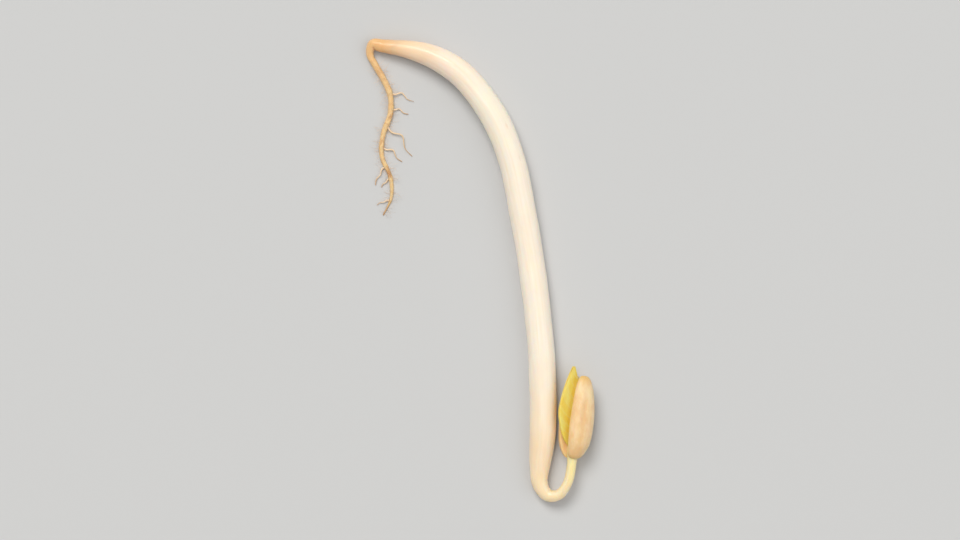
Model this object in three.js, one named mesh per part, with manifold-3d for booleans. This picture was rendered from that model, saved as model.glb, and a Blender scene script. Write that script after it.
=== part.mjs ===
// Mung bean sprout: one hooked white stem with its root, two seed leaves and a pair of first leaves.
// It lies on its side on a flat surface. Millimetres, +Z up, underside at z = 0, and the origin
// under the middle of its outline. The stem's long straight part runs along Y, hook towards -Y.

import * as THREE from 'three';
import { mergeVertices } from 'three/addons/utils/BufferGeometryUtils.js';
import Module from 'manifold-3d';

// ---- Driving dimensions ----

const STEM_RADIUS = 1.32;
const COLLAR_RADIUS = 0.6; // where the stem passes into the root
const NECK_RADIUS = 0.46; // the slender end past the hook, which carries the head
const COLLAR_TAPER = 10; // length over which the stem thickens from the collar
const HOOK_TAPER = 10; // length over which it thins again, round the hook
const NECK_LENGTH = 3.2; // even thickness behind the head
const SINK = 0.07; // how far a resting underside is pressed flat
const GAP = 0.05; // clearance between two pieces that touch

// Middle line of the stem as [x, y, lift]: lift is how far its underside stands off the surface.
const STEM_ROUTE = [
  [-9.52, 21.97, 0.3], [-6.82, 21.55, 0.35], [-4.32, 20.75, 0.4], [-1.82, 19.15, 0.45], [0.33, 16.65, 0.5],
  [1.93, 13.95, 0.5], [3.18, 10.45, 0.4], [4.08, 6.25, 0.2], [4.83, 1.95, 0], [5.48, -2.65, 0],
  [5.96, -7.85, 0], [6.16, -12.25, 0], [6.13, -15.85, 0], [5.88, -18.75, 0.03], [5.83, -20.75, 0.2],
  [6.58, -22, 0.5], [7.73, -21.95, 0.95], [8.58, -20.75, 1.35], [8.93, -19.15, 1.45], [9.08, -17.45, 1.44],
];

// Middle line of the root, which turns back on itself past the collar and lies down the surface.
const ROOT_ROUTE = [
  [-10.8, 21.15, 0], [-10.22, 20.05, 0], [-9.42, 18.65, 0], [-8.82, 17.15, 0], [-8.82, 15.35, 0],
  [-9.52, 13.25, 0], [-9.62, 11.15, 0], [-8.82, 9.15, 0], [-8.72, 7.15, 0], [-9.52, 5.35, 0],
];
const ROOT_RADIUS = 0.36; // just past the collar
const ROOT_TIP_RADIUS = 0.17;
const ROOT_TAPER = 2.8; // length over which the root thins past the collar

const ROOTLET_RADIUS = 0.14;
const ROOTLET_COUNT = 7;
const ROOTLET_SEED = 7; // of the draw that spreads the rootlets
const ROOTLET_SPAN = [0.32, 0.96]; // stretch of the root that bears rootlets, as shares of its length
const ROOTLET_LENGTHS = [1.2, 4.2];
const ROOTLET_SLANTS = [0.35, 1.1]; // reach towards the root's tip, for each unit of reach sideways
const ROOTLET_BEND = 0.45; // share of a rootlet's length before it bends towards the root's tip
const ROOTLET_ARCH = 0.06; // rise of its middle, as a share of its length

const SEED_LEAF_LENGTH = 8.2;
const SEED_LEAF_WIDTH = 2.9;
const SEED_LEAF_THICKNESS = 1.1;
const SEED_LEAF_INNER_RISE = 0.08; // how far its nearly flat inner face bulges
const SEED_LEAF_BASE = 1.03; // fullness of its base and of its tip
const SEED_LEAF_TIP = 0.82;
const SEED_LEAF_ROUNDING = 0.66; // under 1, its ends are blunter than an ellipse's
const SEED_LEAF_BEND = 0.15; // bow of each seed leaf's middle away from the stem
const SEED_LEAF_OVERLAP = 1; // how far the seed leaves reach back past the end of the neck
const SEED_LEAF_HOLLOW = 0.1; // how far its inner face stands off in the middle
const SEED_LEAF_OPENING = THREE.MathUtils.degToRad(2); // turn of each one away from the middle

const FIRST_LEAF_LENGTH = 8;
const FIRST_LEAF_WIDTH = 2.7;
const FIRST_LEAF_THICKNESS = 0.62;
const FIRST_LEAF_SHIFT = 0.75; // how far the first leaves stand out of the seam
const FIRST_LEAF_FUSING = 0.06; // how far each one sinks into the other at the base
const FIRST_LEAF_SPREAD = 0.12; // how far its tip stands off from the middle
const FIRST_LEAF_WIDEST = 0.34; // share of its length at which it is widest
const SHOOT_RADIUS = 0.4; // the short stalk that carries the first leaves
const SHOOT_ROUTE = [[0, 0], [0.1, 1], [0.4, 2]]; // its middle line in the head: across, then along

const HEAD_ROLL = THREE.MathUtils.degToRad(54); // rise of the seam's normal above the horizontal
const HEAD_GAP = 2 * GAP; // clearance between the neck and what it carries

// Sides round each tube and steps along it, and divisions round and along each leaf.
const STEM_GRID = [24, 84];
const ROOT_GRID = [12, 66];
const ROOTLET_GRID = [6, 6];
const SHOOT_GRID = [10, 5];
const SEED_LEAF_GRID = [24, 16];
const FIRST_LEAF_GRID = [20, 16];

// ---- Materials ----

const waxyWhite = new THREE.MeshStandardMaterial({ color: '#f7e9da', roughness: 0.35, metalness: 0 });
const rootTan = new THREE.MeshStandardMaterial({ color: '#dcb184', roughness: 0.6, metalness: 0 });
const seedCream = new THREE.MeshStandardMaterial({ color: '#f2d9a6', roughness: 0.5, metalness: 0 });
const leafYellow = new THREE.MeshStandardMaterial({ color: '#e8c85a', roughness: 0.55, metalness: 0 });

// ---- Shape helpers ----

const smooth = (t) => THREE.MathUtils.smoothstep(t, 0, 1);
const mix = THREE.MathUtils.lerp;
const quickRise = (t) => Math.sin((Math.PI / 2) * THREE.MathUtils.clamp(t, 0, 1));

// A smooth curve through points.
function smoothCurve(points) {
  const curve = new THREE.CatmullRomCurve3(points, false, 'catmullrom', 0.5);
  curve.arcLengthDivisions = 60 * points.length;
  return curve;
}

// The points of a route, each at the height that its lift and its radius give it.
function routePoints(route, radiusAt) {
  const chords = route.map(([x, y], i) => {
    const [fromX, fromY] = route[Math.max(i - 1, 0)];
    return Math.hypot(x - fromX, y - fromY);
  });
  const total = chords.reduce((sum, chord) => sum + chord);
  let along = 0;
  return route.map(([x, y, lift], i) => {
    along += chords[i];
    return new THREE.Vector3(x, y, lift + radiusAt(along, total) - SINK);
  });
}

// A closed round tube: a lathe turned from the radius along the length, then bent onto the curve.
function tube(curve, radiusAt, [sides, steps]) {
  const total = curve.getLength();
  const profile = [new THREE.Vector2(0, 0)];
  for (let i = 0; i <= steps; i += 1) {
    const along = (total * i) / steps;
    profile.push(new THREE.Vector2(radiusAt(along, total), along));
  }
  profile.push(new THREE.Vector2(0, total));
  const geometry = new THREE.LatheGeometry(profile, sides);
  const up = new THREE.Vector3(0, 0, 1);
  return reshape(geometry, (p) => {
    const t = THREE.MathUtils.clamp(p.y / total, 0, 1);
    const tangent = curve.getTangentAt(t);
    const side = tangent.clone().cross(up).normalize();
    const top = side.clone().cross(tangent);
    return curve.getPointAt(t).addScaledVector(side, p.x).addScaledVector(top, p.z);
  });
}

// Moves every vertex by a function and leaves only positions, with shared vertices merged.
function reshape(geometry, move) {
  geometry.deleteAttribute('normal');
  geometry.deleteAttribute('uv');
  const position = geometry.getAttribute('position');
  const p = new THREE.Vector3();
  for (let i = 0; i < position.count; i += 1) {
    const q = move(p.fromBufferAttribute(position, i));
    position.setXYZ(i, q.x, q.y, q.z);
  }
  return mergeVertices(geometry, 1e-4);
}

// Presses what lies below the surface flat onto it.
const pressFlat = (geometry) => reshape(geometry, (p) => p.setZ(Math.max(p.z, 0)));

const wasm = await Module();
wasm.setup();

function toSolid(geometry) {
  return new wasm.Manifold(new wasm.Mesh({
    numProp: 3,
    vertProperties: new Float32Array(geometry.getAttribute('position').array),
    triVerts: new Uint32Array(geometry.getIndex().array),
  }));
}

function join(geometries) {
  const solid = geometries.map(toSolid).reduce((whole, next) => whole.add(next));
  const mesh = solid.getMesh();
  const joined = new THREE.BufferGeometry();
  joined.setAttribute('position', new THREE.BufferAttribute(mesh.vertProperties, 3));
  joined.setIndex(new THREE.BufferAttribute(mesh.triVerts, 1));
  return joined;
}

function seededRandom(seed) {
  let state = seed;
  return () => {
    state = (state * 1664525 + 1013904223) % 4294967296;
    return state / 4294967296;
  };
}

// ---- Stem and root ----

// Thin at the collar, full along the middle, and thin again round the hook and the neck.
function stemRadius(along, total) {
  const body = mix(COLLAR_RADIUS, STEM_RADIUS, quickRise(along / COLLAR_TAPER));
  const thin = smooth((along - (total - NECK_LENGTH - HOOK_TAPER)) / HOOK_TAPER);
  return mix(body, NECK_RADIUS, thin);
}

function rootRadius(along, total) {
  const root = mix(ROOT_RADIUS, ROOT_TIP_RADIUS, along / total);
  return mix(COLLAR_RADIUS, root, smooth(along / ROOT_TAPER));
}

const stemCurve = smoothCurve(routePoints(STEM_ROUTE, stemRadius));

// The root leaves the collar straight on from the stem, then follows its own route.
function makeRootCurve() {
  const collar = stemCurve.getPointAt(0);
  const onward = stemCurve.getTangentAt(0).negate();
  const start = [GAP, 1].map((step) => collar.clone().addScaledVector(onward, step));
  return smoothCurve([...start, ...routePoints(ROOT_ROUTE, rootRadius)]);
}

const rootCurve = makeRootCurve();

function makeStem() {
  return pressFlat(tube(stemCurve, stemRadius, STEM_GRID));
}

// One side root: it leaves the root nearly square, then bends towards the root's tip.
function makeRootlet(share, sideways, length, slant) {
  const start = rootCurve.getPointAt(share);
  const tangent = rootCurve.getTangentAt(share);
  const out = new THREE.Vector3(tangent.y, -tangent.x, 0).normalize().multiplyScalar(sideways);
  const away = out.clone().addScaledVector(tangent, slant * ROOTLET_BEND).normalize();
  const onward = out.clone().addScaledVector(tangent, slant).normalize();
  const middle = start.clone().addScaledVector(away, length * ROOTLET_BEND);
  const end = middle.clone().addScaledVector(onward, length * (1 - ROOTLET_BEND));
  middle.z = ROOTLET_RADIUS + length * ROOTLET_ARCH;
  end.z = ROOTLET_RADIUS;
  return tube(smoothCurve([start, middle, end]), () => ROOTLET_RADIUS, ROOTLET_GRID);
}

function makeRoot() {
  const random = seededRandom(ROOTLET_SEED);
  const pieces = [tube(rootCurve, rootRadius, ROOT_GRID)];
  for (let i = 0; i < ROOTLET_COUNT; i += 1) {
    const share = mix(...ROOTLET_SPAN, (i + 0.6 * random()) / ROOTLET_COUNT);
    const sideways = random() < 0.5 ? 1 : -1;
    const length = mix(...ROOTLET_LENGTHS, random() ** 1.5); // short ones are the commoner
    pieces.push(makeRootlet(share, sideways, length, mix(...ROOTLET_SLANTS, random())));
  }
  return pressFlat(join(pieces));
}

// ---- Head ----

// Head frame: X across the seam, up and towards the stem, Y from the neck to the tip, and Z from
// the upper seed leaf to the lower one. Its origin is the end of the neck.
function headFrame() {
  const axis = stemCurve.getTangentAt(1);
  const inward = new THREE.Vector3(-axis.y, axis.x, 0);
  const across = inward.multiplyScalar(Math.sin(HEAD_ROLL)).setZ(Math.cos(HEAD_ROLL));
  const normal = across.clone().cross(axis);
  return new THREE.Matrix4().makeBasis(across, axis, normal).setPosition(stemCurve.getPointAt(1));
}

// A seed leaf: half of a bean, domed outside and nearly flat inside, blunt at its base and
// narrower at its tip, with its base on the side of the neck.
function makeSeedLeaf(frame, side) {
  const geometry = new THREE.SphereGeometry(1, ...SEED_LEAF_GRID);
  const shaped = reshape(geometry, (p) => {
    const along = (1 + p.y) / 2;
    const ring = Math.hypot(p.x, p.z);
    const full = ring ** SEED_LEAF_ROUNDING * mix(SEED_LEAF_BASE, SEED_LEAF_TIP, along);
    const bow = 1 - (2 * along - 1) ** 2;
    const around = Math.atan2(p.z, p.x);
    const across = 0.5 * SEED_LEAF_WIDTH * full * Math.cos(around) - side * SEED_LEAF_BEND * bow;
    const rise = p.z > 0 ? SEED_LEAF_THICKNESS : SEED_LEAF_INNER_RISE;
    const depth = rise * full * Math.sin(around) + SEED_LEAF_HOLLOW * bow;
    return p.set(across, SEED_LEAF_LENGTH * along, depth);
  });
  const hinge = new THREE.Matrix4().makeRotationX(SEED_LEAF_OPENING);
  const flip = side > 0 ? new THREE.Matrix4() : new THREE.Matrix4().makeRotationY(Math.PI);
  const place = new THREE.Matrix4().makeTranslation(0, -SEED_LEAF_OVERLAP, 0)
    .multiply(flip)
    .multiply(new THREE.Matrix4().makeTranslation(0, 0, NECK_RADIUS + HEAD_GAP))
    .multiply(hinge);
  return pressFlat(shaped.applyMatrix4(frame.clone().multiply(place)));
}

// Width of a first leaf, from 0 to 1: round at its base and pointed at its tip.
function leafOutline(along) {
  const base = 1 - Math.min(along / FIRST_LEAF_WIDEST, 1);
  const tip = Math.max(along - FIRST_LEAF_WIDEST, 0) / (1 - FIRST_LEAF_WIDEST);
  return Math.sqrt(1 - base ** 3) * Math.max(Math.cos((tip * Math.PI) / 2), 0) ** 0.9;
}

// One first leaf: a pointed blade, a little arched along and across.
function makeFirstLeaf(side) {
  const geometry = new THREE.SphereGeometry(1, ...FIRST_LEAF_GRID);
  return reshape(geometry, (p) => {
    const along = (1 + p.y) / 2;
    const ring = Math.hypot(p.x, p.z);
    const around = Math.atan2(p.z, p.x);
    const across = 0.5 * FIRST_LEAF_WIDTH * leafOutline(along) * Math.cos(around);
    const skin = 0.5 * FIRST_LEAF_THICKNESS * Math.sqrt(ring) * Math.sin(around);
    const middle = 0.5 * FIRST_LEAF_THICKNESS - FIRST_LEAF_FUSING + FIRST_LEAF_SPREAD * along;
    const out = FIRST_LEAF_SHIFT * smooth(2 * along);
    return p.set(across + out, FIRST_LEAF_LENGTH * along, side * middle + skin);
  });
}

function makeFirstLeaves(frame) {
  const stalk = smoothCurve(SHOOT_ROUTE.map(([across, along]) => new THREE.Vector3(across, along, 0)));
  const pieces = [
    tube(stalk, () => SHOOT_RADIUS, SHOOT_GRID),
    makeFirstLeaf(1),
    makeFirstLeaf(-1),
  ];
  return pressFlat(join(pieces).translate(0, HEAD_GAP, 0).applyMatrix4(frame));
}

// ---- The sprout ----

function mesh(name, geometry, material) {
  const piece = new THREE.Mesh(geometry, material);
  piece.name = name;
  return piece;
}

const frame = headFrame();
const sprout = new THREE.Group();
sprout.add(
  mesh('stem', makeStem(), waxyWhite),
  mesh('taproot', makeRoot(), rootTan),
  mesh('seed_leaf_upper', makeSeedLeaf(frame, -1), seedCream),
  mesh('seed_leaf_lower', makeSeedLeaf(frame, 1), seedCream),
  mesh('first_leaves', makeFirstLeaves(frame), leafYellow),
);

// The origin goes under the middle of the whole outline.
const middle = new THREE.Box3().setFromObject(sprout).getCenter(new THREE.Vector3());
sprout.position.set(-middle.x, -middle.y, 0);

export default sprout;
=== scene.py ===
"""Mung bean sprout: the finished look of one sprout lying on a pale surface.

The solid model is loaded first as a fixed frame, in metres and +Z up. Each operator makes one
piece, or a group of like pieces, at the place and size that the solids give it.
"""

import functools
import math

import bmesh
import bpy
from mathutils import Matrix, Vector, geometry, noise


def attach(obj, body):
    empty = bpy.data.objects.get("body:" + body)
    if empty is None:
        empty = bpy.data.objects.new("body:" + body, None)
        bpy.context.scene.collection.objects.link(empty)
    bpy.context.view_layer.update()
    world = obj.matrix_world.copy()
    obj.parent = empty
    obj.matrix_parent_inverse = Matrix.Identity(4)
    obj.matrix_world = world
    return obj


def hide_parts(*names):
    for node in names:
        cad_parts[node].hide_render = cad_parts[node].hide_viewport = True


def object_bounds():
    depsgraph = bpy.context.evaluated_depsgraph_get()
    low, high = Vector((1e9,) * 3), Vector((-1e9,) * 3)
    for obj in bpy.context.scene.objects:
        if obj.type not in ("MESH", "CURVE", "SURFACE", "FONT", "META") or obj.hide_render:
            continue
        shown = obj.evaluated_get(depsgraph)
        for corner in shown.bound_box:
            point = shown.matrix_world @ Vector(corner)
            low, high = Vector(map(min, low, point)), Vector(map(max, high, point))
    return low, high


bl_info = {
    "name": "Mung Bean Sprout",
    "version": (1, 0, 0),
    "blender": (4, 5, 0),
    "location": "3D View > Sidebar > Sprout",
    "description": "Builds a hooked bean sprout with its root, seed leaves and first leaves",
    "category": "Object",
}

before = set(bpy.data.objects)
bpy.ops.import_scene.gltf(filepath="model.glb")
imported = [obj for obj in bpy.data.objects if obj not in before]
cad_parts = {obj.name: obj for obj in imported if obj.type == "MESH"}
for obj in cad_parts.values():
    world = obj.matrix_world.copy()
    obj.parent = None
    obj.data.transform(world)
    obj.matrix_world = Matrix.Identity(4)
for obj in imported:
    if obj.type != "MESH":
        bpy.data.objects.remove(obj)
cad_low, cad_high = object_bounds()

MM = 0.001
BODY = "root"
GRAIN = "grain"  # each point's own place on its piece, in millimetres: around or across, then along
SHADE = "shade"  # 0 to 1, a mark that a material reads, such as a rim, a vein or a tip

# Middle line of the stem, in millimetres: x, y and how far the underside stands off the surface.
STEM_ROUTE = (
    (-9.52, 21.97, 0.3), (-6.82, 21.55, 0.35), (-4.32, 20.75, 0.4), (-1.82, 19.15, 0.45), (0.33, 16.65, 0.5),
    (1.93, 13.95, 0.5), (3.18, 10.45, 0.4), (4.08, 6.25, 0.2), (4.83, 1.95, 0), (5.48, -2.65, 0),
    (5.96, -7.85, 0), (6.16, -12.25, 0), (6.13, -15.85, 0), (5.88, -18.75, 0.03), (5.83, -20.75, 0.2),
    (6.58, -22, 0.5), (7.73, -21.95, 0.95), (8.58, -20.75, 1.35), (8.93, -19.15, 1.45), (9.08, -17.45, 1.44),
)

# Middle line of the root, past the point where it leaves the stem.
ROOT_ROUTE = (
    (-10.8, 21.15, 0), (-10.22, 20.05, 0), (-9.42, 18.65, 0), (-8.82, 17.15, 0), (-8.82, 15.35, 0),
    (-9.52, 13.25, 0), (-9.62, 11.15, 0), (-8.82, 9.15, 0), (-8.72, 7.15, 0), (-9.52, 5.35, 0),
)
ROOT_INSIDE = 3.2  # length over which the root's skin runs on along the stem, in millimetres
ROOT_START = (1, 0.67, 0.33)  # where its path's first points lie along the stem, as shares of that length
ROOT_ONWARD = (0.05, 1)  # how far its next points lie straight on from the stem's end, in millimetres
ROOT_AGEING = 6  # length past the stem over which that skin passes from young to old, in millimetres
WELD = 0.0005 * MM  # points of a tube that are closer than this are merged


# ---- Settings ----


def length_prop(name, millimetres, description):
    return bpy.props.FloatProperty(
        name=name,
        description=description,
        default=millimetres * MM,
        min=0,
        unit="LENGTH",
        subtype="DISTANCE",
        precision=5,
    )


def colour_prop(name, shade, description):
    return bpy.props.FloatVectorProperty(
        name=name, description=description, default=linear(shade), size=4, min=0, max=1, subtype="COLOR"
    )


def linear(shade):
    """Linear colour of a screen colour, by the sRGB curve, given as three numbers up to 255."""
    parts = [part / 255 for part in shade]
    return tuple(
        part / 12.92 if part <= 0.04045 else ((part + 0.055) / 1.055) ** 2.4 for part in parts
    ) + (1.0,)


class StemSettings(bpy.types.PropertyGroup):
    radius: length_prop("Radius", 1.32, "Radius of the stem at its fullest")
    collar: length_prop("Collar radius", 0.6, "Radius where the stem passes into the root")
    neck: length_prop("Neck radius", 0.46, "Radius of the slender end that carries the head")
    collar_taper: length_prop("Collar taper", 10, "Length over which the stem thickens from the collar")
    hook_taper: length_prop("Hook taper", 10, "Length over which the stem thins round the hook")
    neck_length: length_prop("Neck length", 3.2, "Length of even thickness behind the head")
    sink: length_prop("Sink", 0.07, "How far a resting underside is pressed flat")
    flesh: colour_prop("Flesh", (253, 238, 225), "Colour of the white part of the stem")
    collar_tint: colour_prop("Collar tint", (236, 188, 132), "Colour where the stem meets the root")
    neck_tint: colour_prop("Neck tint", (253, 228, 162), "Colour of the slender neck")


class RootSettings(bpy.types.PropertyGroup):
    radius: length_prop("Radius", 0.36, "Radius of the root just past the collar")
    tip: length_prop("Tip radius", 0.15, "Radius of the root's thin end")
    taper: length_prop("Taper", 2.8, "Length over which the root thins past the collar")
    point: length_prop("Point", 3, "Length over which the root's end comes to a point")
    rootlet: length_prop("Rootlet radius", 0.09, "Radius of a side root at its base")
    rootlets: bpy.props.IntProperty(name="Rootlets", description="Number of side roots", default=7, min=0)
    hairs: bpy.props.IntProperty(name="Hairs", description="Number of fine root hairs", default=320, min=0)
    skin: colour_prop("Skin", (228, 182, 122), "Main colour of the root")
    old_skin: colour_prop("Old skin", (172, 110, 56), "Colour of its darker patches and tips")


class HeadSettings(bpy.types.PropertyGroup):
    length: length_prop("Seed leaf length", 8.2, "Length of a seed leaf")
    width: length_prop("Seed leaf width", 2.9, "Width of a seed leaf")
    thickness: length_prop("Seed leaf thickness", 1.1, "Height of its domed side")
    bend: length_prop("Seed leaf bend", 0.15, "Bow of each seed leaf's middle away from the stem")
    overlap: length_prop("Overlap", 1.0, "How far the seed leaves reach back past the neck's end")
    opening: bpy.props.FloatProperty(
        name="Opening",
        description="Turn of each seed leaf away from the middle",
        default=math.radians(2),
        subtype="ANGLE",
    )
    roll: bpy.props.FloatProperty(
        name="Roll",
        description="Rise of the seam's normal above the horizontal",
        default=math.radians(54),
        subtype="ANGLE",
    )
    leaf_length: length_prop("First leaf length", 8, "Length of a first leaf")
    leaf_width: length_prop("First leaf width", 2.7, "Width of a first leaf as it lies folded")
    leaf_shift: length_prop("First leaf shift", 0.75, "How far the first leaves stand out of the seam")
    cream: colour_prop("Seed leaf", (237, 203, 153), "Main colour of the seed leaves")
    rim: colour_prop("Seed leaf rim", (222, 182, 96), "Colour of their rims and tips")
    yellow: colour_prop("First leaf", (255, 221, 97), "Main colour of the first leaves")
    vein: colour_prop("Vein", (255, 236, 158), "Colour of their veins")


class StageSettings(bpy.types.PropertyGroup):
    floor: colour_prop("Surface", (200, 202, 204), "Colour of the surface that the sprout lies on")
    fill: bpy.props.FloatProperty(
        name="Fill", description="Share of the picture's height that it takes", default=0.86, min=0.1, max=1
    )
    lens: bpy.props.FloatProperty(
        name="Lens", description="Focal length of the camera, in millimetres", default=135, min=20
    )


# ---- Paths and skins ----


def smooth(t):
    t = min(max(t, 0.0), 1.0)
    return t * t * (3 - 2 * t)


def mix(a, b, t):
    return a + (b - a) * t


def seeded_draws(seed):
    """Yields numbers from 0 to 1 that look random and are the same in every run."""
    factor, step, span = 1664525, 1013904223, 2**32
    state = seed
    while True:
        state = (state * factor + step) % span
        yield state / span


class Path:
    """A smooth curve through points, measured by the distance along it."""

    SAMPLES = 40  # points of the curve from one knot to the next
    HANDLE = 6  # a knot's handle is as long as the way between its neighbours over this
    BEND_STEP = 0.25 * MM

    def __init__(self, points):
        before = points[0] * 2 - points[1]
        after = points[-1] * 2 - points[-2]
        knots = [before, *points, after]
        self.points = [points[0]]
        for i in range(1, len(knots) - 2):
            ahead = (knots[i + 1] - knots[i - 1]) / self.HANDLE
            behind = (knots[i + 2] - knots[i]) / self.HANDLE
            piece = geometry.interpolate_bezier(
                knots[i], knots[i] + ahead, knots[i + 1] - behind, knots[i + 1], self.SAMPLES
            )
            self.points += piece[1:]
        self.reach = [0.0]
        for start, end in zip(self.points, self.points[1:]):
            self.reach.append(self.reach[-1] + (end - start).length)
        self.length = self.reach[-1]

    @functools.lru_cache(maxsize=None)
    def at(self, along):
        """Point, and unit vectors ahead, to the right and up, at a distance along the path."""
        along = min(max(along, 0.0), self.length)
        low, high = 0, len(self.reach) - 1
        while high - low > 1:
            middle = (low + high) // 2
            low, high = (middle, high) if self.reach[middle] <= along else (low, middle)
        share = (along - self.reach[low]) / (self.reach[high] - self.reach[low])
        point = self.points[low].lerp(self.points[high], share)
        first = self.points[max(low - 1, 0)]
        last = self.points[min(high + 1, len(self.points) - 1)]
        ahead = (self.points[high] - first).lerp(last - self.points[low], share).normalized()
        side = ahead.cross(Vector((0, 0, 1))).normalized()
        return point, ahead, side, side.cross(ahead)

    @functools.lru_cache(maxsize=None)
    def bend(self, along):
        """Vector towards the inside of the bend, as long as one over the bend's radius."""
        before, after = self.at(along - self.BEND_STEP)[1], self.at(along + self.BEND_STEP)[1]
        return (after - before) / (2 * self.BEND_STEP)

    def outward(self, along, angle):
        """Unit vector away from the path, at an angle round it from straight up."""
        _, _, side, top = self.at(along)
        return side * math.sin(angle) + top * math.cos(angle)

    def lost_to_bend(self, along, angle, radius):
        """Share of its length that a skin loses there inside a bend, and under 0 outside it."""
        return self.outward(along, angle).dot(self.bend(along)) * radius


def route_points(route, radius_at, sink):
    """The points of a route, each at the height that its lift and its radius give it."""
    flat = [Vector((x, y)) * MM for x, y, _ in route]
    steps = [0.0] + [(end - start).length for start, end in zip(flat, flat[1:])]
    total = sum(steps)
    points, along = [], 0.0
    for spot, step, (_, _, lift) in zip(flat, steps, route):
        along += step
        points.append(Vector((*spot, lift * MM + radius_at(along, total) - sink)))
    return points


def grain_layers(bm):
    """The two layers that the materials read."""
    grain = bm.verts.layers.float_vector.get(GRAIN) or bm.verts.layers.float_vector.new(GRAIN)
    shade = bm.verts.layers.float.get(SHADE) or bm.verts.layers.float.new(SHADE)
    return grain, shade


def add_tube(bm, path, radius_at, sides, steps, relief=None, shade_at=None, start_round=None):
    """Wraps a grid round a path, with rounded ends. Relief adds to its radius here and there."""
    rounds = (start_round or radius_at(0.0), radius_at(path.length))
    grain, shade = grain_layers(bm)
    wrap = bmesh.ops.create_grid(bm, x_segments=sides, y_segments=steps, size=0.5)["verts"]
    for vert in wrap:
        angle = math.tau * (vert.co.x + 0.5)
        along = path.length * (vert.co.y + 0.5)
        edge = min(along / rounds[0], (path.length - along) / rounds[1], 1.0)
        round_off = math.sqrt(max(0.0, 1 - (1 - edge) ** 2))
        radius = radius_at(along) * round_off
        if relief:
            radius += relief(along, angle) * round_off
        vert.co = path.at(along)[0] + path.outward(along, angle) * radius
        full = radius_at(along) / MM
        vert[grain] = (full * math.sin(angle), full * math.cos(angle), along / MM)
        vert[shade] = shade_at(along, angle) if shade_at else 0.0
    bmesh.ops.remove_doubles(bm, verts=wrap, dist=WELD)


def press_flat(bm):
    """Presses what lies below the surface flat onto it."""
    for vert in bm.verts:
        vert.co.z = max(vert.co.z, 0.0)


def smooth_object(name, bm, material):
    """Turns a bmesh into a smooth-shaded object."""
    mesh = bpy.data.meshes.new(name)
    bm.to_mesh(mesh)
    bm.free()
    mesh.materials.append(material)
    mesh.polygons.foreach_set("use_smooth", [True] * len(mesh.polygons))
    made = bpy.data.objects.new(name, mesh)
    bpy.context.scene.collection.objects.link(made)
    return made


def finish_piece(name, bm, material, nodes=()):
    """Turns a bmesh into a finished piece that rides with the solids, and may replace some."""
    bmesh.ops.recalc_face_normals(bm, faces=bm.faces)
    piece = smooth_object(name, bm, material)
    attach(piece, BODY)
    if nodes:
        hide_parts(*nodes)
    return piece


def bumps(point, scale, seed):
    """Smooth noise from -1 to 1. Each seed reads another part of it."""
    return noise.noise(Vector(point) * scale + Vector((seed, seed * 1.7, seed * 0.6)))


# ---- Shapes shared by the pieces ----


def stem_radius(along, total):
    """Thin at the collar, full along the middle, and thin again round the hook and the neck."""
    stem = bpy.context.scene.sprout_stem
    swell = math.sin(min(max(along / stem.collar_taper, 0), 1) * math.pi / 2)
    thin = smooth((along - (total - stem.neck_length - stem.hook_taper)) / stem.hook_taper)
    return mix(mix(stem.collar, stem.radius, swell), stem.neck, thin)


def stem_path():
    return Path(route_points(STEM_ROUTE, stem_radius, bpy.context.scene.sprout_stem.sink))


def root_radius(along, total):
    """As thick as the stem's end at first, then slender, and thinner still towards its tip."""
    stem, root = bpy.context.scene.sprout_stem, bpy.context.scene.sprout_root
    lower = mix(root.radius, root.tip, along / total)
    return mix(stem.collar, lower, smooth(along / root.taper))


def root_path():
    """The root starts along the stem's end, runs straight on from it, then follows its route."""
    stem = stem_path()
    collar, ahead, _, _ = stem.at(0)
    inner = [stem.at(ROOT_INSIDE * MM * share)[0] for share in ROOT_START]
    start = inner + [collar - ahead * step * MM for step in ROOT_ONWARD]
    sink = bpy.context.scene.sprout_stem.sink
    return Path(start + route_points(ROOT_ROUTE, root_radius, sink))


def head_frame():
    """X across the seam, up and towards the stem, Y from neck to tip, Z to the lower seed leaf."""
    roll = bpy.context.scene.sprout_head.roll
    stem = stem_path()
    end, axis, _, _ = stem.at(stem.length)
    across = Vector((-axis.y, axis.x, 0)) * math.sin(roll) + Vector((0, 0, math.cos(roll)))
    turn = Matrix((across, axis, across.cross(axis))).transposed().to_4x4()
    return Matrix.Translation(end) @ turn


# ---- Materials ----


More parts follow.
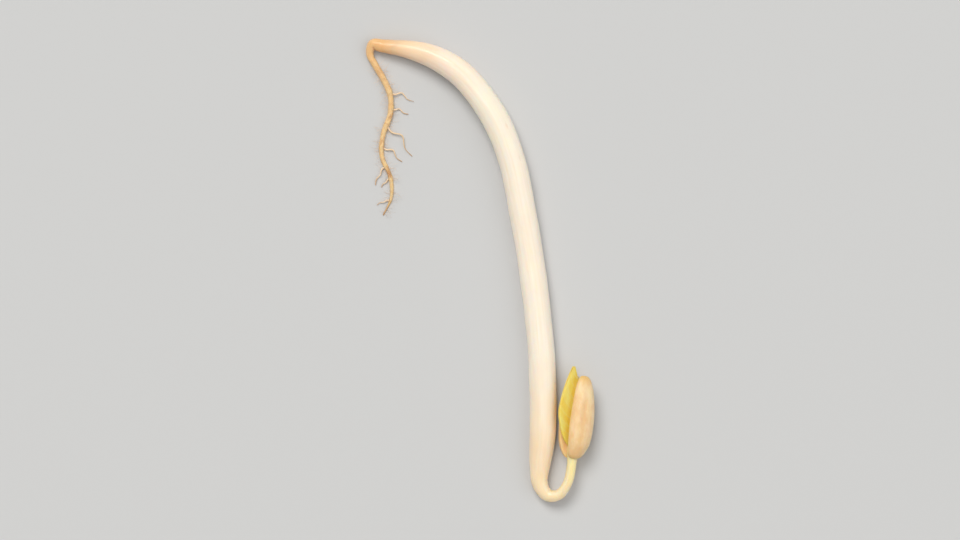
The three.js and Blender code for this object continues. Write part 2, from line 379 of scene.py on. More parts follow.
class Shader:
    """A material's node tree, with short calls for the nodes that these finishes use."""

    # Sockets of a Mix node that blends colours, whose names its other kinds share.
    MIX_INPUTS = (0, 6, 7)
    MIX_OUTPUT = 2

    def __init__(self, name, **surface):
        self.material = bpy.data.materials.new(name)
        self.material.use_nodes = True
        self.tree = self.material.node_tree
        self.surface = self.tree.nodes["Principled BSDF"]
        for socket, value in surface.items():
            self.surface.inputs[socket.replace("_", " ")].default_value = value

    def add(self, kind, inputs=(), **settings):
        node = self.tree.nodes.new(kind)
        for name, value in settings.items():
            setattr(node, name, value)
        for socket, value in dict(inputs).items():
            self.feed(node.inputs[socket], value)
        return node

    def feed(self, socket, value):
        """Links a socket to another node's output, or sets it to a constant."""
        if isinstance(value, bpy.types.NodeSocket):
            self.tree.links.new(value, socket)
        else:
            socket.default_value = value

    def place(self):
        return self.add("ShaderNodeAttribute", attribute_name=GRAIN).outputs["Vector"]

    def grain(self, stretch=(1, 1, 1)):
        """Place on the piece, for a pattern that runs along the axes that are scaled below 1."""
        return self.add("ShaderNodeMapping", {"Vector": self.place(), "Scale": stretch}).outputs["Vector"]

    def along(self):
        return self.add("ShaderNodeSeparateXYZ", {"Vector": self.place()}).outputs["Z"]

    def shade(self):
        return self.add("ShaderNodeAttribute", attribute_name=SHADE).outputs["Fac"]

    def noise(self, vector, scale, detail, roughness=0.5):
        inputs = {"Vector": vector, "Scale": scale, "Detail": detail, "Roughness": roughness}
        return self.add("ShaderNodeTexNoise", inputs).outputs["Fac"]

    def ramp(self, factor, stops):
        node = self.add("ShaderNodeValToRGB", {"Fac": factor})
        elements = node.color_ramp.elements
        while len(elements) < len(stops):
            elements.new(1.0)
        for element, (position, colour) in zip(elements, stops):
            element.position = position
            element.color = colour
        return node.outputs["Color"]

    def range(self, value, low, high, to_low, to_high):
        inputs = {"Value": value, "From Min": low, "From Max": high, "To Min": to_low, "To Max": to_high}
        return self.add("ShaderNodeMapRange", inputs).outputs["Result"]

    def mix(self, factor, first, second):
        node = self.add("ShaderNodeMix", data_type="RGBA")
        for index, value in zip(self.MIX_INPUTS, (factor, first, second)):
            self.feed(node.inputs[index], value)
        return node.outputs[self.MIX_OUTPUT]

    def math(self, first, second, operation="ADD"):
        return self.add("ShaderNodeMath", {0: first, 1: second}, operation=operation).outputs[0]

    def bump(self, height, depth, strength, below=None):
        inputs = {"Height": height, "Distance": depth, "Strength": strength}
        if below is not None:
            inputs["Normal"] = below
        return self.add("ShaderNodeBump", inputs).outputs["Normal"]

    def link(self, **sockets):
        for socket, value in sockets.items():
            self.tree.links.new(value, self.surface.inputs[socket.replace("_", " ")])
        return self.material


COLLAR_CREAM = linear((251, 219, 187))  # where the root's skin thins out along the stem
FLESH_IOR = 1.4
MOIST = {"Coat_Weight": 0.22, "Coat_Roughness": 0.14, "IOR": FLESH_IOR}


def stem_material(total):
    """Moist white flesh with faint fibres and brown marks, tan at the collar and yellow at the neck."""
    stem = bpy.context.scene.sprout_stem
    shader = Shader(
        "moist_white_flesh",
        Subsurface_Radius=(1.0, 0.75, 0.5),
        Subsurface_Scale=1.1 * MM,
        **MOIST,
    )
    straw, milk, brown = linear((240, 216, 182)), linear((243, 240, 228)), linear((206, 156, 104))
    along = shader.along()
    blotch = shader.noise(shader.grain((1, 1, 0.5)), 0.6, 2.0)
    past_collar = shader.range(along, 1.5, 6, 0.0, 1.0)
    uneven = shader.math(shader.range(blotch, 0.3, 0.7, -1.5, 1.5), past_collar, "MULTIPLY")
    share = shader.math(shader.math(along, uneven), total / MM, "DIVIDE")
    stops = (
        (0.0, stem.collar_tint),
        (ROOT_INSIDE * MM / total, COLLAR_CREAM),
        (0.1, linear((255, 230, 213))),
        (0.2, linear((254, 240, 224))),
        (0.36, stem.flesh),
        (0.66, stem.flesh),
        (0.8, linear((255, 226, 196))),
        (0.92, linear((255, 222, 180))),
        (1.0, stem.neck_tint),
    )
    base = shader.ramp(share, stops)
    fibres = shader.noise(shader.grain((1, 1, 0.03)), 5.0, 3.0)
    streaked = shader.mix(shader.range(fibres, 0.4, 0.72, 0.0, 0.3), base, straw)
    cores = shader.noise(shader.grain((1, 1, 0.02)), 2.0, 1.0)
    pale = shader.math(shader.range(cores, 0.45, 0.65, 0.0, 0.25), past_collar, "MULTIPLY")
    cored = shader.mix(pale, streaked, milk)
    spots = shader.add("ShaderNodeTexVoronoi", {"Vector": shader.grain((1, 1, 0.45)), "Scale": 0.8})
    some = shader.noise(shader.grain((1, 1, 0.3)), 0.9, 1.0)
    bruised = shader.range(share, 0.03, 0.3, 0.6, 0.22)
    worn = shader.math(shader.range(some, 0.46, 0.6, 0.0, 1.0), bruised, "MULTIPLY")
    marks = shader.math(shader.range(spots.outputs["Distance"], 0.04, 0.16, 1.0, 0.0), worn, "MULTIPLY")
    marked = shader.mix(marks, cored, brown)
    dew = shader.noise(shader.grain((1, 1, 0.35)), 1.4, 4.0)
    rough = shader.range(dew, 0.3, 0.7, 0.3, 0.48)
    normal = shader.bump(fibres, 0.012 * MM, 0.5)
    depth = shader.range(along, 1.5, 7.0, 0.3, 0.8)
    return shader.link(Base_Color=marked, Roughness=rough, Normal=normal, Subsurface_Weight=depth)


def root_material():
    """Moist skin, cream by the stem and tan beyond, with darker patches, cracks and tips."""
    root = bpy.context.scene.sprout_root
    shader = Shader(
        "tan_root_skin",
        Subsurface_Weight=0.32,
        Subsurface_Radius=(1.0, 0.7, 0.45),
        Subsurface_Scale=0.9 * MM,
        **MOIST,
    )
    along, aged_from, aged_by = shader.along(), ROOT_INSIDE, ROOT_INSIDE + ROOT_AGEING
    patches = shader.noise(shader.grain((1, 1, 0.4)), 1.2, 5.0, 0.65)
    base = shader.ramp(patches, ((0.28, root.skin), (0.5, linear((240, 204, 152))), (0.7, root.old_skin)))
    collar = bpy.context.scene.sprout_stem.collar_tint
    skin = shader.ramp(shader.math(along, ROOT_INSIDE, "DIVIDE"), ((0.0, COLLAR_CREAM), (1.0, collar)))
    young = shader.mix(shader.range(along, aged_from, aged_by, 1.0, 0.0), base, skin)
    aged = shader.mix(shader.shade(), young, root.old_skin)
    rings = shader.noise(shader.grain((1, 1, 1.6)), 2.5, 4.0, 0.6)
    older = shader.range(along, aged_from, aged_by, 0.0, 0.4)
    cracks = shader.math(shader.range(rings, 0.58, 0.72, 0.0, 1.0), older, "MULTIPLY")
    cracked = shader.mix(cracks, aged, root.old_skin)
    normal = shader.bump(shader.math(rings, older, "MULTIPLY"), 0.1 * MM, 0.5)
    rough = shader.math(shader.range(patches, 0.3, 0.7, 0.3, 0.46), shader.math(older, 0.6, "MULTIPLY"))
    return shader.link(Base_Color=cracked, Roughness=rough, Normal=normal)


def seed_leaf_material():
    """Satin cream flesh, finely wrinkled and clouded, with darker yellowish rims and ends."""
    head = bpy.context.scene.sprout_head
    shader = Shader(
        "cream_seed_leaf",
        Subsurface_Weight=0.5,
        Subsurface_Radius=(1.0, 0.6, 0.25),
        Subsurface_Scale=0.8 * MM,
        Roughness=0.4,
        Coat_Weight=0.15,
        Coat_Roughness=0.2,
        IOR=FLESH_IOR,
    )
    cloud = shader.noise(shader.grain((1, 0.5, 1)), 0.8, 4.0, 0.6)
    pale, warm, tan = linear((248, 225, 185)), linear((237, 193, 139)), linear((226, 186, 122))
    base = shader.ramp(cloud, ((0.3, warm), (0.48, head.cream), (0.68, pale)))
    fine = shader.noise(shader.grain((1, 0.28, 1)), 4.0, 3.0, 0.55)
    toned = shader.mix(shader.range(fine, 0.42, 0.75, 0.0, 0.25), base, tan)
    ragged = shader.math(shader.shade(), shader.range(cloud, 0.3, 0.7, -0.15, 0.25))
    rimmed = shader.mix(shader.range(ragged, 0.1, 1.0, 0.0, 0.8), toned, head.rim)
    wrinkles = shader.bump(fine, 0.07 * MM, 0.5)
    pores = shader.noise(shader.grain(), 14.0, 2.0)
    normal = shader.bump(pores, 0.02 * MM, 0.5, wrinkles)
    rough = shader.range(cloud, 0.3, 0.7, 0.3, 0.48)
    return shader.link(Base_Color=rimmed, Roughness=rough, Normal=normal)


def first_leaf_material():
    """Thin bright yellow leaf, clouded from deep to light, with paler veins."""
    head = bpy.context.scene.sprout_head
    shader = Shader(
        "yellow_first_leaf",
        Subsurface_Weight=0.4,
        Subsurface_Radius=(1.0, 0.75, 0.15),
        Subsurface_Scale=0.5 * MM,
        Roughness=0.42,
        IOR=FLESH_IOR,
    )
    cloud = shader.noise(shader.grain((1, 0.5, 1)), 1.1, 4.0, 0.6)
    deep, light = linear((252, 206, 77)), linear((255, 237, 134))
    base = shader.ramp(cloud, ((0.3, deep), (0.5, head.yellow), (0.72, light)))
    veined = shader.mix(shader.shade(), base, head.vein)
    fine = shader.noise(shader.grain((1, 0.6, 1)), 8.0, 3.0)
    normal = shader.bump(fine, 0.03 * MM, 0.6)
    rough = shader.range(cloud, 0.3, 0.7, 0.35, 0.52)
    return shader.link(Base_Color=veined, Roughness=rough, Normal=normal)


def surface_material():
    """A plain pale surface with a very fine tooth."""
    shader = Shader("pale_surface", Roughness=0.7)
    place = shader.add("ShaderNodeTexCoord").outputs["Object"]
    tooth = shader.noise(place, 900.0, 3.0)
    shade = bpy.context.scene.sprout_stage.floor
    tone = shader.mix(shader.range(tooth, 0.3, 0.7, 0.0, 0.04), shade, (0.6, 0.6, 0.6, 1.0))
    return shader.link(Base_Color=tone, Normal=shader.bump(tooth, 0.02 * MM, 0.3))


# ---- Operators ----


class SPROUT_OT_stem(bpy.types.Operator):
    """Makes the stem, from the collar to the slender neck past the hook"""

    bl_idname = "sprout.stem"
    bl_label = "Stem"

    SIDES, STEPS = 104, 560
    START_ROUND = 0.9 * MM  # length of the stem's rounded end, which the root's skin covers
    JOINT_SWELLING = 0.07 * MM  # where the seed leaves grow out of the neck
    JOINT_START = 1.6 * MM  # how far from the neck's end that swelling starts
    JOINT_GROWTH = 1.2 * MM  # length over which it grows
    # Heights of the skin's relief, in millimetres.
    SWELLS, DENTS, RIDGES, FINE_RIDGES, CREASES = 0.07, 0.03, 0.022, 0.009, 0.035
    RELIEF_GROWTH = 4 * MM  # length past the collar over which the relief grows to its full height
    CREASED_BEND = 0.45  # share of the skin's length lost inside a bend at which it is fully creased

    def execute(self, context):
        path = stem_path()

        def radius_here(along):
            joint = smooth((along - path.length + self.JOINT_START) / self.JOINT_GROWTH)
            return stem_radius(along, path.length) + self.JOINT_SWELLING * joint

        def relief(along, angle):
            x, y, radius = math.sin(angle), math.cos(angle), radius_here(along)
            fibre = (x, y, along / MM * 0.07)
            swells = self.SWELLS * bumps((x * 0.35, y * 0.35, along / MM * 0.17), 1, 3)
            dents = self.DENTS * bumps((x * 0.8, y * 0.8, along / MM * 0.55), 1, 6)
            ridges = self.RIDGES * bumps(fibre, 2.2, 8) + self.FINE_RIDGES * bumps(fibre, 5.5, 5)
            inside = smooth(path.lost_to_bend(along, angle, radius) / self.CREASED_BEND)
            creases = self.CREASES * inside * bumps((x, y, along / MM * 3.1), 1, 4)
            thin = radius / context.scene.sprout_stem.radius * smooth(along / self.RELIEF_GROWTH)
            return ((swells + dents + ridges) * thin + creases) * MM

        bm = bmesh.new()
        add_tube(bm, path, radius_here, self.SIDES, self.STEPS, relief, start_round=self.START_ROUND)
        press_flat(bm)
        finish_piece("stem_skin", bm, stem_material(path.length), ("stem",))
        return {"FINISHED"}


class SPROUT_OT_root(bpy.types.Operator):
    """Makes the main root, its side roots and its fine hairs"""

    bl_idname = "sprout.root"
    bl_label = "Root"

    DRAW = 7  # start of the draw that spreads the side roots and the hairs
    SIDES, STEPS = 28, 300
    ROOTLET_SIDES, ROOTLET_STEPS = 10, 40
    ROOTLET_SPAN = (0.32, 0.96)  # stretch that bears side roots, as shares of the root past the stem
    ROOTLET_STRAY = 0.6  # how far on one may stray, as a share of their even spacing
    ROOTLET_LENGTHS = (1.2, 4.2)  # in millimetres
    ROOTLET_SLANTS = (0.35, 1.1)  # reach towards the tip, for each unit of reach sideways
    ROOTLET_BEND = 0.45  # share of a side root before it bends towards the tip
    ROOTLET_ARCH = 0.06  # rise of its middle, as a share of its length
    ROOTLET_SWAY = 0.05  # how far it sways from side to side, as a share of its length
    ROOTLET_ENDS = (1.4, 0.35)  # its radii at its base and its tip, as shares of the setting
    ROOTLET_CROOKS = 0.02 * MM
    ROOTLET_TIP = 0.7  # how dark its tip is, from 0 to 1
    HAIR_SIDES, HAIR_STEPS = 3, 7
    HAIR_SPAN = (0.3, 0.99)  # stretch that bears hairs, as shares of the whole root
    HAIR_TURNS = (-2, 2)  # angles round the root at which they stand, from straight up
    HAIR_LENGTHS = (0.4, 1.3)  # in millimetres
    HAIR_LEANS = (-0.4, 0.7)  # reach towards the root's tip, for each unit of reach outwards
    HAIR_CURLS = (-0.8, 0.8)  # turn of the outer half, for each unit of its length
    HAIR_DROOP = 0.4  # and how much further it turns down
    HAIR_DEPTH = 0.7  # how far out it starts, as a share of the root's radius
    HAIR_RADIUS = 0.009 * MM
    HAIR_THINNING = 0.5  # radius of its tip, as a share of that
    SKIN_RISE = 0.04 * MM  # how far the root's skin stands out where the stem ends
    SKIN_FALL = 2 * MM  # length past the stem over which that is lost
    SKIN_SINK = 0.06 * MM  # how far the skin has sunk in where it thins out along the stem
    END_RADIUS = 0.35  # radius of its very end, as a share of the tip's radius
    # Heights of the skin's relief, in millimetres.
    CROOKS, FINE_CROOKS, KNOTS, CREASES, RAGS = 0.06, 0.015, 0.035, 0.05, 0.04
    KNOT_REACH = 0.3 * MM  # half length of the knot from which a side root grows
    CREASED_BEND = 0.4  # as the stem's
    CHANGE = 2  # length over which ragged skin gives way to knotted at the stem's end, in millimetres
    OLD_TIP_LENGTH = 2.2 * MM
    OLD_TIP = 0.75  # how dark the tip is, from 0 to 1

    def execute(self, context):
        root = context.scene.sprout_root
        path, stem_length = root_path(), stem_path().length
        outside = path.length - ROOT_INSIDE * MM

        def radius_here(along):
            past = along - ROOT_INSIDE * MM
            if past < 0:
                skin = mix(self.SKIN_RISE, -self.SKIN_SINK, smooth(-past / (ROOT_INSIDE * MM)))
                return stem_radius(-past, stem_length) + skin
            point = mix(self.END_RADIUS, 1, smooth((path.length - along) / root.point))
            rise = self.SKIN_RISE * (1 - smooth(past / self.SKIN_FALL))
            return root_radius(past, outside) * point + rise

        def relief(along, angle):
            x, y, radius = math.sin(angle) * 0.3, math.cos(angle) * 0.3, radius_here(along)
            ring = (x, y, along / MM * 0.5)
            crooks = self.CROOKS * bumps(ring, 1.1, 2) + self.FINE_CROOKS * bumps(ring, 4.5, 6)
            knots = sum(math.exp(-(((along - place) / self.KNOT_REACH) ** 2)) for place in places)
            inside = smooth(path.lost_to_bend(along, angle, radius) / self.CREASED_BEND)
            creases = self.CREASES * inside * bumps((x, y, along / MM * 4), 1, 4)
            free = smooth((along / MM - ROOT_INSIDE + self.CHANGE / 2) / self.CHANGE)
            rags = self.RAGS * bumps((x * 5, y * 5, along / MM * 0.6), 1, 9) * (1 - free)
            bends = (crooks * radius / root.radius + self.KNOTS * knots) * free
            return (bends + rags + creases) * MM

        def old_tip(along, angle):
            return self.OLD_TIP * smooth((along - path.length + self.OLD_TIP_LENGTH) / self.OLD_TIP_LENGTH)

        draws = seeded_draws(self.DRAW)
        rootlets = [self.draw_rootlet(draws, i / root.rootlets) for i in range(root.rootlets)]
        places = [ROOT_INSIDE * MM + share * outside for share, *_ in rootlets]
        bm = bmesh.new()
        add_tube(bm, path, radius_here, self.SIDES, self.STEPS, relief, old_tip)
        for place, (_, sideways, reach, slant) in zip(places, rootlets):
            self.add_rootlet(bm, path.at(place), sideways, reach, slant)
        for _ in range(root.hairs):
            self.add_hair(bm, path, radius_here, draws)
        press_flat(bm)
        finish_piece("root_skin", bm, root_material(), ("taproot",))
        return {"FINISHED"}

    def draw_rootlet(self, draws, place):
        """Share of the root it starts at, side it leaves on, reach and slant of one side root."""
        stray = self.ROOTLET_STRAY / bpy.context.scene.sprout_root.rootlets
        share = mix(*self.ROOTLET_SPAN, place + stray * next(draws))
        sideways = 1 if next(draws) < 0.5 else -1
        reach = mix(*self.ROOTLET_LENGTHS, next(draws) ** 1.5) * MM
        return share, sideways, reach, mix(*self.ROOTLET_SLANTS, next(draws))

    def add_rootlet(self, bm, place, sideways, reach, slant):
        """One side root, which leaves to a side, bends towards the root's tip and lies down."""
        radius = bpy.context.scene.sprout_root.rootlet
        start, ahead, side, _ = place
        away = (side * sideways + ahead * slant * self.ROOTLET_BEND).normalized()
        onward = (side * sideways + ahead * slant).normalized()
        middle = start + away * reach * self.ROOTLET_BEND
        end = middle + onward * reach * (1 - self.ROOTLET_BEND)
        middle.z = radius + reach * self.ROOTLET_ARCH
        end.z = radius
        sway = (end - start).cross(Vector((0, 0, 1))).normalized() * self.ROOTLET_SWAY * reach
        elbows = [start.lerp(middle, 0.5) + sway, middle - sway, middle.lerp(end, 0.5) + sway]
        twig = Path([start, *elbows, end])

        def thin(along):
            base, tip = self.ROOTLET_ENDS
            return mix(radius * base, tip * radius, math.sqrt(along / twig.length))

        def crooks(along, angle):
            ring = (math.sin(angle) * 0.2, math.cos(angle) * 0.2, along / MM * 1.1)
            return self.ROOTLET_CROOKS * bumps(ring, 1, start.y / MM)

        def old_tip(along, angle):
            return self.ROOTLET_TIP * smooth(along / twig.length * 2 - 1)

        add_tube(bm, twig, thin, self.ROOTLET_SIDES, self.ROOTLET_STEPS, crooks, old_tip)

    def add_hair(self, bm, path, radius_here, draws):
        """One fine hair that stands out of the root's skin and droops."""
        along = path.length * mix(*self.HAIR_SPAN, next(draws))
        out = path.outward(along, mix(*self.HAIR_TURNS, next(draws)))
        reach = mix(*self.HAIR_LENGTHS, next(draws)) * MM
        centre, ahead, _, _ = path.at(along)
        lean = (out + ahead * mix(*self.HAIR_LEANS, next(draws))).normalized()
        start = centre + out * radius_here(along) * self.HAIR_DEPTH
        curl = Vector([mix(*self.HAIR_CURLS, next(draws)) for _ in range(3)])
        curl -= Vector((0, 0, self.HAIR_DROOP))
        middle = start + lean * reach * 0.5
        end = middle + (lean + curl).normalized() * reach * 0.5
        for point in (middle, end):
            point.z = max(point.z, 2 * self.HAIR_RADIUS)
        hair = Path([start, middle, end])

        def thin(along):
            return mix(1, self.HAIR_THINNING, along / hair.length) * self.HAIR_RADIUS

        add_tube(bm, hair, thin, self.HAIR_SIDES, self.HAIR_STEPS)


class SPROUT_OT_seed_leaves(bpy.types.Operator):
    """Makes the two seed leaves, the halves of the bean, on either side of the neck"""

    bl_idname = "sprout.seed_leaves"
    bl_label = "Seed Leaves"

    SIDES, RINGS = 112, 88
    ROUNDING = 0.66  # under 1, its ends are blunter than an ellipse's
    FULLNESS = (1.03, 0.82)  # at its base and at its tip
    INNER_RISE = 0.08 * MM  # how far its nearly flat inner face bulges
    HOLLOW = 0.1 * MM  # how far that face stands off in the middle
    CLEAR = 0.06 * MM  # clearance to the neck
    FUSED_LENGTH = 1.7 * MM  # stretch of its base that is grown together with the neck
    FUSED_DEPTH = 0.24 * MM  # how far the base sinks into the neck
    INNER_RELIEF = 0.12  # extra height of the inner face's bulge, in millimetres
    RIM_SWAY = 0.05 * MM
    WRINKLES, FINE_WRINKLES, FURROW = 0.06, 0.03, 0.07  # in millimetres
    FURROW_PLACE, FURROW_SWAY, FURROW_WIDTH = 0.25, 0.12, 0.22  # in millimetres, across the back
    FURROW_RUN, FURROW_FADE = 8, 2  # its length, and how much of it fades at either end
    RIM = 0.28  # how far onto the faces the rim's colour reaches
    BASE_END, TIP_START = 0.08, 0.86  # where the ends' colour stops and starts, as shares of the length
    RIM_SHADE, TIP_SHADE, BASE_SHARE = 0.55, 0.75, 0.9  # their strengths, the base's by the tip's
    GRAIN_APART = 9  # keeps the patterns of the two halves apart

    def execute(self, context):
        material = seed_leaf_material()
        for name, side in (("seed_leaf_upper", -1), ("seed_leaf_lower", 1)):
            bm = bmesh.new()
            self.add_half(bm, side)
            press_flat(bm)
            finish_piece(name + "_skin", bm, material, (name,))
        return {"FINISHED"}

    def add_half(self, bm, side):
        """One half of the bean, with a domed back and a nearly flat inner face, at its place."""
        head, stem = bpy.context.scene.sprout_head, bpy.context.scene.sprout_stem
        grain, shade = grain_layers(bm)
        ball = bmesh.ops.create_uvsphere(bm, u_segments=self.SIDES, v_segments=self.RINGS, radius=1)
        for vert in ball["verts"]:
            along = (1 + vert.co.z) / 2
            ring = math.hypot(vert.co.x, vert.co.y)
            around = math.atan2(vert.co.y, vert.co.x)
            full = ring**self.ROUNDING * mix(*self.FULLNESS, along)
            bow = 1 - (2 * along - 1) ** 2
            outer = vert.co.y > 0
            rise = math.sin(around) * full
            across = 0.5 * head.width * full * math.cos(around) - side * head.bend * bow
            x, y = across / MM, head.length * along / MM
            relief = self.outer_relief(x, y, side) if outer else self.INNER_RELIEF * full
            z = (head.thickness if outer else self.INNER_RISE) * rise
            z += self.HOLLOW * bow + relief * rise * MM
            z -= self.FUSED_DEPTH * smooth((self.FUSED_LENGTH - head.length * along) / self.FUSED_LENGTH)
            across += self.RIM_SWAY * bumps((y * 0.5, side * 3, 0), 1, 2) * math.cos(around)
            vert.co = Vector((across, head.length * along, z))
            vert[grain] = (x, y, z / MM + side * self.GRAIN_APART)
            rim = smooth((self.RIM - abs(math.sin(around))) / self.RIM)
            ends = smooth((along - self.TIP_START) / (1 - self.TIP_START))
            ends += self.BASE_SHARE * smooth((self.BASE_END - along) / self.BASE_END)
            vert[shade] = min(self.RIM_SHADE * rim + self.TIP_SHADE * ends, 1.0)
        flip = Matrix.Identity(4) if side > 0 else Matrix.Rotation(math.pi, 4, "Y")
        stand = Matrix.Translation((0, 0, stem.neck + self.CLEAR))
        place = (
            head_frame()
            @ Matrix.Translation((0, -head.overlap, 0))
            @ flip
            @ stand
            @ Matrix.Rotation(head.opening, 4, "X")
        )
        bmesh.ops.transform(bm, matrix=place, verts=bm.verts)

    def outer_relief(self, x, y, side):
        """Long shallow wrinkles and one furrow down the back, in millimetres."""
        ends = smooth(y / self.FURROW_FADE) * smooth((self.FURROW_RUN - y) / self.FURROW_FADE)
        middle = x + self.FURROW_PLACE + self.FURROW_SWAY * math.sin(y * 0.9 + side)
        furrow = math.exp(-((middle / self.FURROW_WIDTH) ** 2))
        wrinkles = self.WRINKLES * bumps((x * 1.25, y * 0.26, side * 4), 1, 1)
        wrinkles += self.FINE_WRINKLES * bumps((x * 3.4, y * 0.55, side * 4), 1, 2)
        return wrinkles - self.FURROW * furrow * ends


class SPROUT_OT_first_leaves(bpy.types.Operator):
    """Makes the pair of folded first leaves and the short stalk that carries them"""

    bl_idname = "sprout.first_leaves"
    bl_label = "First Leaves"

    WIDEST = 0.34  # share of a leaf's length at which it is widest
    CURL = 0.45  # how much further the upper edges reach than the lower ones
    STALK_ROUTE = ((0, -0.9, 0), (0, 0, 0), (0.1, 1, 0), (0.4, 2.2, 0))  # millimetres from the neck's end
    STALK_RADII = (0.54 * MM, 0.36 * MM)
    STALK_SIDES, STALK_STEPS = 24, 40
    STALK_TAPER = 1.3  # it thins and yellows over its length divided by this, up to its upper end
    STALK_SHADES = (1.0, 0.3)  # how pale it is at its two ends, from 0 to 1
    BLADE_GRID = (48, 110)  # faces across a blade and along it
    BLADE_SPAN = (0.004, 0.992)  # stretch of the outline that is made, short of its ends without width
    FOLD_RADIUS = 0.1  # roundness of the fold, as a share of a half's width
    OFF_SEAM = 0.17  # how far a leaf's middle stands off the seam, in millimetres
    SPLAY = 0.1  # how much further at its tip
    HALF_APART = 0.075  # how far each of its halves stands off its middle
    WAVES = 0.12  # height of the waves in its edges
    THICKNESS = 0.1 * MM
    TIP_THINNESS = 0.25  # thickness at the tip, as a share of that
    TIP_SPREAD = 0.4  # how far apart the halves stand at the tip, as a share of their spacing
    EDGE_CLOSING = 0.25  # share of that spacing that is lost towards the edges
    EDGE_THINNING = 0.6  # share of the thickness, past what the tip has, that is lost there
    VEINS, VEIN_CROWDING, VEIN_SLANT = 8, 0.8, 1.6  # side veins: number, crowding, slant
    VEIN_WIDTH = 0.35  # as a share of their spacing
    MIDRIB_WIDTH = 0.08  # as a share of a half's width
    VEIN_DEPTH = 0.03  # in millimetres
    VEIN_SHADE = 0.75

    def execute(self, context):
        material = first_leaf_material()
        bm = bmesh.new()
        place = head_frame()
        stalk = Path([Vector(spot) * MM for spot in self.STALK_ROUTE])

        def upper(along):
            return smooth(along / stalk.length * self.STALK_TAPER - (self.STALK_TAPER - 1))

        def thin(along):
            return mix(*self.STALK_RADII, upper(along))

        def paler(along, angle):
            return mix(*self.STALK_SHADES, upper(along))

        add_tube(bm, stalk, thin, self.STALK_SIDES, self.STALK_STEPS, shade_at=paler)
        bmesh.ops.transform(bm, matrix=place, verts=bm.verts)
        finish_piece("shoot_stalk", bm, material)
        for name, side in (("first_leaf_upper", -1), ("first_leaf_lower", 1)):
            bm = bmesh.new()
            self.add_folded_leaf(bm, side)
            bmesh.ops.transform(bm, matrix=place, verts=bm.verts)
            piece = finish_piece(name, bm, material, ("first_leaves",) if side > 0 else ())
            wall = piece.modifiers.new("wall", "SOLIDIFY")
            wall.thickness = self.THICKNESS
            wall.offset = 0
            wall.vertex_group = piece.vertex_groups.new(name="thick").name
            wall.thickness_vertex_group = self.TIP_THINNESS
        return {"FINISHED"}

    def add_folded_leaf(self, bm, side):
        """A blade folded along its midrib, which lies in the seam with both edges standing out."""
        head = bpy.context.scene.sprout_head
        grain, shade = grain_layers(bm)
        thick = bm.verts.layers.deform.verify()
        columns, rows = self.BLADE_GRID
        sheet = bmesh.ops.create_grid(bm, x_segments=columns, y_segments=rows, size=0.5)["verts"]
        for vert in sheet:
            t, along = 2 * vert.co.x, mix(*self.BLADE_SPAN, vert.co.y + 0.5)
            width = self.outline(along)
            fold = math.sqrt(t * t + self.FOLD_RADIUS**2)
            half = t / fold
            wave = self.WAVES * bumps((along * 4, 0, side * 2.5), 1, 1) * t * t
            depth = side * (self.OFF_SEAM + self.SPLAY * along) + self.HALF_APART * half
            depth = depth * (1 - self.EDGE_CLOSING * t * t) + wave
            curl = self.CURL * (depth - 0.1) * smooth(abs(t))
            across = head.leaf_width / MM * width * (fold - 0.5) + head.leaf_shift / MM * smooth(along * 2)
            turn = (along**self.VEIN_CROWDING * self.VEINS - t * t * self.VEIN_SLANT) * math.pi
            side_vein = 1 - smooth(abs(math.sin(turn)) / self.VEIN_WIDTH)
            midrib = 1 - smooth(abs(t) / self.MIDRIB_WIDTH)
            vein = max(side_vein * (1 - 0.5 * abs(t)), midrib)
            ridge = self.VEIN_DEPTH * vein * (1 if half * side > 0 else -1)
            spread = mix(self.TIP_SPREAD, 1, math.sqrt(width))
            y, z = head.leaf_length / MM * along + 0.1, depth * spread + ridge * width
            vert.co = Vector((across - curl * width, y, z)) * MM
            vert[thick][0] = smooth(width * 1.6) * (1 - self.EDGE_THINNING * t * t)
            vert[grain] = (t * 2 + side * 7, along * 8, half)
            vert[shade] = self.VEIN_SHADE * vein

    def outline(self, along):
        """Width of a leaf, from 0 to 1: round at its base and pointed at its tip."""
        base = 1 - min(along / self.WIDEST, 1)
        tip = max(along - self.WIDEST, 0) / (1 - self.WIDEST)
        return math.sqrt(1 - base**3) * math.cos(tip * math.pi / 2) ** 0.9


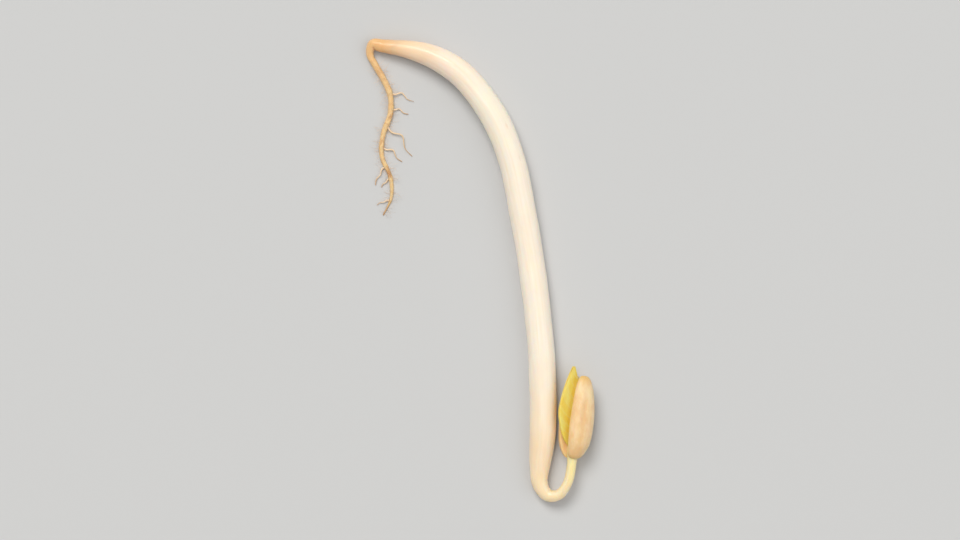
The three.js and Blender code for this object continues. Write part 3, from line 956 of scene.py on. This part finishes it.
class SPROUT_OT_stage(bpy.types.Operator):
    """Makes the pale surface, the soft lights and the camera looking straight down"""

    bl_idname = "sprout.stage"
    bl_label = "Stage"

    # Name, direction it comes from, spread in degrees, strength and colour of each soft light.
    LIGHTS = (
        ("key", (-0.09, 0.19, 0.3), 30, 1.84, (1.0, 0.97, 0.92)),
        ("fill", (0.26, -0.06, 0.3), 60, 0.7, (1.0, 0.98, 0.95)),
        ("sheen", (-0.05, 0.04, 0.42), 12, 0.32, (1.0, 0.98, 0.95)),
    )
    ROOM = (1.0, 0.98, 0.95, 1.0)  # colour of the light from all round
    ROOM_LIGHT = 0.33  # and its strength
    FLAT = 0.8  # radius of the surface's flat middle
    SWEEP = 1.0  # radius of the curve in which it rises all round
    SWEEP_END = math.radians(45)
    SWEEP_STEPS, SPIN_STEPS = 24, 96
    SEAM = 0.01 * MM  # corners of the surface that are closer than this are merged
    PICTURE_SHAPE = 540 / 960  # height of the picture over its width

    def execute(self, context):
        self.make_surface()
        self.make_world(context)
        for light in self.LIGHTS:
            self.make_light(context, *light)
        self.make_camera(context)
        context.scene.view_settings.view_transform = "Standard"
        return {"FINISHED"}

    def make_surface(self):
        """A disc whose edge sweeps up all round, so that no horizon shows behind the sprout."""
        bm = bmesh.new()
        profile = [bm.verts.new((0, 0, 0))]
        for i in range(self.SWEEP_STEPS + 1):
            turn = self.SWEEP_END * i / self.SWEEP_STEPS
            rise = self.SWEEP * (1 - math.cos(turn))
            profile.append(bm.verts.new((self.FLAT + self.SWEEP * math.sin(turn), 0, rise)))
        edges = [bm.edges.new(pair) for pair in zip(profile, profile[1:])]
        bmesh.ops.spin(
            bm,
            geom=profile + edges,
            axis=(0, 0, 1),
            cent=(0, 0, 0),
            steps=self.SPIN_STEPS,
            angle=math.tau,
            use_merge=True,
        )
        bmesh.ops.remove_doubles(bm, verts=bm.verts, dist=self.SEAM)
        bmesh.ops.recalc_face_normals(bm, faces=bm.faces)
        if sum(face.normal.z for face in bm.faces) < 0:
            bmesh.ops.reverse_faces(bm, faces=bm.faces)
        surface = smooth_object("surface", bm, surface_material())

    def make_world(self, context):
        world = bpy.data.worlds.new("pale_room")
        world.use_nodes = True
        background = world.node_tree.nodes["Background"]
        background.inputs["Color"].default_value = self.ROOM
        background.inputs["Strength"].default_value = self.ROOM_LIGHT
        context.scene.world = world

    def make_light(self, context, name, origin, spread, strength, colour):
        lamp = bpy.data.lights.new(name, "SUN")
        lamp.angle = math.radians(spread)
        lamp.energy = strength
        lamp.color = colour
        light = bpy.data.objects.new(name, lamp)
        light.location = origin
        light.rotation_euler = (-Vector(origin)).to_track_quat("-Z", "Y").to_euler()
        context.scene.collection.objects.link(light)

    def make_camera(self, context):
        stage = context.scene.sprout_stage
        camera = bpy.data.cameras.new("camera")
        camera.lens = stage.lens
        camera.clip_start = 0.01
        view = bpy.data.objects.new("camera", camera)
        low, high = cad_low, cad_high
        picture_height = camera.sensor_width * self.PICTURE_SHAPE
        distance = (high.y - low.y) / stage.fill * camera.lens / picture_height
        view.location = ((low.x + high.x) / 2, (low.y + high.y) / 2, distance + high.z / 2)
        context.scene.collection.objects.link(view)
        context.scene.camera = view


class SPROUT_PT_panel(bpy.types.Panel):
    """Settings and makers of the sprout"""

    bl_idname = "SPROUT_PT_panel"
    bl_label = "Bean Sprout"
    bl_space_type = "VIEW_3D"
    bl_region_type = "UI"
    bl_category = "Sprout"

    def draw(self, context):
        for group in SETTINGS:
            settings = getattr(context.scene, group)
            box = self.layout.box()
            for name in settings.__annotations__:
                box.prop(settings, name)
        for maker in MAKERS:
            self.layout.operator(maker.bl_idname)


SETTINGS = {
    "sprout_stem": StemSettings,
    "sprout_root": RootSettings,
    "sprout_head": HeadSettings,
    "sprout_stage": StageSettings,
}
MAKERS = (
    SPROUT_OT_stage,
    SPROUT_OT_stem,
    SPROUT_OT_root,
    SPROUT_OT_seed_leaves,
    SPROUT_OT_first_leaves,
)


def register():
    for cls in (*SETTINGS.values(), *MAKERS, SPROUT_PT_panel):
        bpy.utils.register_class(cls)
    for name, group in SETTINGS.items():
        setattr(bpy.types.Scene, name, bpy.props.PointerProperty(type=group))


def unregister():
    for name in SETTINGS:
        delattr(bpy.types.Scene, name)
    for cls in (SPROUT_PT_panel, *reversed(MAKERS), *reversed(SETTINGS.values())):
        bpy.utils.unregister_class(cls)


def main():
    register()
    bpy.ops.sprout.stage()
    bpy.ops.sprout.stem()
    bpy.ops.sprout.root()
    bpy.ops.sprout.seed_leaves()
    bpy.ops.sprout.first_leaves()


if __name__ == "__main__":
    main()
